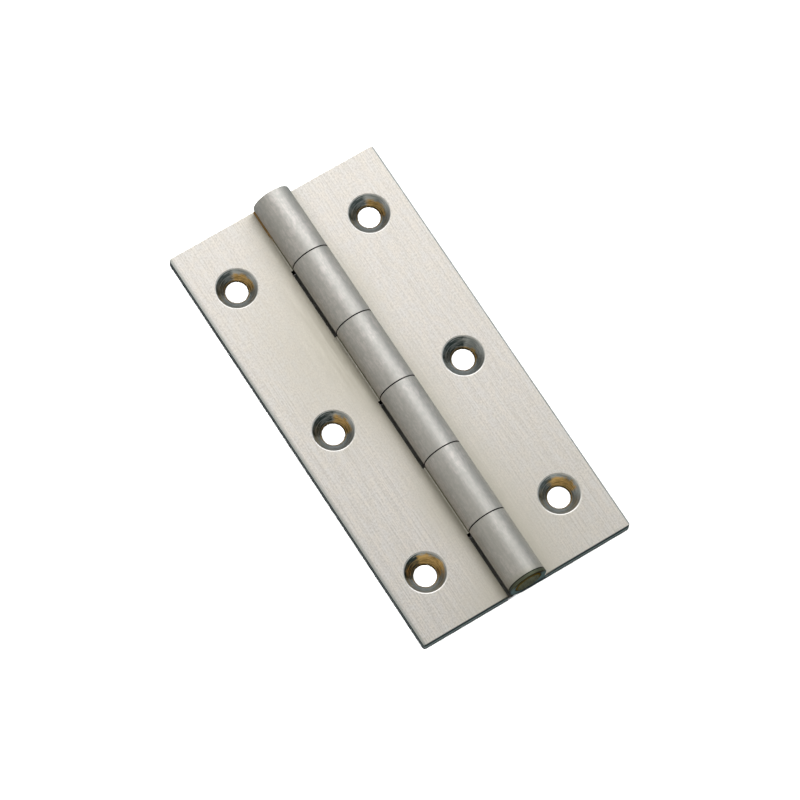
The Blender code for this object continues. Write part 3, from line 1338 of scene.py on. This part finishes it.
@dataclass(frozen=True)
class SoftLight:
    """A rectangular soft box that faces the hinge."""

    name: str
    place: Point
    size: Point
    brightness: float
    colour: Colour = (1.0, 1.0, 1.0)
    mirrored: bool = True

    def hang(self, lit_apart: Collection) -> None:
        """Puts the light in the scene.

        Args:
            lit_apart: what a mirrored light doesn't shine on, because the others light it.
        """
        light = bpy.data.lights.new(self.name, "AREA")
        light.shape = "RECTANGLE"
        light.size, light.size_y = self.size
        light.energy = self.brightness * math.pi * light.size * light.size_y
        light.color = self.colour
        lamp = bpy.data.objects.new(self.name, light)
        bpy.context.scene.collection.objects.link(lamp)
        lamp.location = self.place
        lamp.rotation_euler = (-Vector(self.place)).to_track_quat("-Z", "Y").to_euler()
        lamp.visible_camera = False
        lamp.visible_glossy = self.mirrored
        if self.mirrored:
            lamp.light_linking.receiver_collection = lit_apart


@dataclass(frozen=True)
class Studio:
    """The camera, the table and the light round the hinge."""

    azimuth: float = -37.742
    elevation: float = 68.793
    roll: float = 5.846
    distance: float = 791.69 * MM
    lens: float = 225.35
    sensor: float = 36.0
    aim: Point = (-0.04 * MM, -0.89 * MM, 0.0)
    nearest: float = 10.0 * MM
    table_half: float = 2.0
    ambient: float = 0.42
    room_left: Colour = (1.0, 0.985, 0.90)
    room_right: Colour = (0.76, 0.83, 0.83)
    left_to_right: Span = (-0.6, 0.8)
    lower_end: Point = (0.342, -0.94, 0.0)
    lower_end_reach: Span = (0.35, 0.72)
    lower_end_gain: float = 1.35
    lights: Sequence[SoftLight] = (
        SoftLight("key", (0.28, 0.44, 0.55), (0.80, 0.72), 1.95),
        SoftLight("fill_left", (-0.60, 0.25, 0.45), (0.60, 0.50), 0.26),
        SoftLight("table_right", (0.70, 0.0, 0.60), (0.50, 1.60), 9.5, mirrored=False),
        SoftLight("table_left", (-0.95, 0.0, 0.36), (0.40, 1.60), 23.0, mirrored=False),
    )

    def set_camera(self) -> None:
        """Places the camera at the photograph's viewing angle."""
        turn_round, rise = math.radians(self.azimuth), math.radians(self.elevation)
        back = Vector((
            math.sin(turn_round) * math.cos(rise),
            -math.cos(turn_round) * math.cos(rise),
            math.sin(rise),
        ))
        lens = bpy.data.cameras.new("camera")
        lens.lens = self.lens
        lens.sensor_width = self.sensor
        lens.clip_start = self.nearest
        camera = bpy.data.objects.new("camera", lens)
        bpy.context.scene.collection.objects.link(camera)
        level = (-back).to_track_quat("-Z", "Y").to_matrix().to_4x4()
        spin = Matrix.Rotation(math.radians(self.roll), 4, "Z")
        camera.matrix_world = Matrix.Translation(Vector(self.aim) + back * self.distance) @ level @ spin
        bpy.context.scene.camera = camera

    def lay_floor(self, finish: Material) -> Object:
        """Lays the table under the hinge.

        Args:
            finish: its material.

        Returns:
            The table.
        """
        shape = bmesh.new()
        bmesh.ops.create_grid(shape, x_segments=8, y_segments=8, size=self.table_half)
        mesh = bpy.data.meshes.new("table")
        shape.to_mesh(mesh)
        shape.free()
        mesh.materials.append(finish)
        table = new_object("table", mesh)
        return table

    def set_light(self, table: Object) -> None:
        """Hangs the lights and sets the plain surroundings and the plain tone curve.

        Args:
            table: the table, which has lights of its own.
        """
        world = bpy.data.worlds.new("surroundings")
        world.use_nodes = True
        room = Board(world.node_tree, world.node_tree.nodes["Background"])
        facing = room.add("TexCoord").outputs["Generated"]
        sideways = room.ramp(room.parts(facing)[0], *self.left_to_right)
        ends = {0: facing, 1: self.lower_end}
        to_lower_end = room.add("VectorMath", ends, operation="DOT_PRODUCT").outputs["Value"]
        brighter = self.ambient * self.lower_end_gain
        room.shade(
            Color=room.mix(sideways, self.room_left, self.room_right),
            Strength=room.ramp(to_lower_end, *self.lower_end_reach, self.ambient, brighter),
        )
        world.cycles_visibility.diffuse = False
        bpy.context.scene.world = world
        lit_apart = bpy.data.collections.new("lit_apart")
        lit_apart.objects.link(table)
        lit_apart.collection_objects[0].light_linking.link_state = "EXCLUDE"
        for light in self.lights:
            light.hang(lit_apart)
        bpy.context.scene.view_settings.view_transform = "Standard"


def main() -> None:
    """Builds the hinge, its finishes and the studio, and reports each piece."""
    logging.basicConfig(level=logging.INFO, format="%(name)s: %(message)s")
    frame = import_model()
    sizes = HingeSizes.from_frame(frame["joints"][0])
    by_region = {
        "brushed_nickel": BrushedPlate,
        "matte_nickel": SatinBarrel,
        "thin_plating": ThinPlating,
        "cut_edge": CutEdge,
        "crevice": Crevice,
        "barrel_end": BarrelEnd,
        "milled_notch": MilledNotch,
        "bright_rim": BrightRim,
    }
    finishes = [finish(sizes).make(name) for name, finish in by_region.items()]
    leaves = (
        Leaf("left_leaf", "fixed_leaf", Side.LEFT, sizes),
        Leaf("right_leaf", "swinging_leaf", Side.RIGHT, sizes),
    )
    for leaf in leaves:
        made = leaf.build(finishes)
        LOG.info("%s has %d faces", made.name, len(made.data.polygons))
    pin = Pin("hinge_pin", "fixed_leaf", sizes).build(PinMetal(sizes).make("pin_metal"))
    LOG.info("%s has %d faces", pin.name, len(pin.data.polygons))
    studio = Studio()
    studio.set_camera()
    studio.set_light(studio.lay_floor(PaleFloor(sizes).make("pale_table")))


if __name__ == "__main__":
    main()
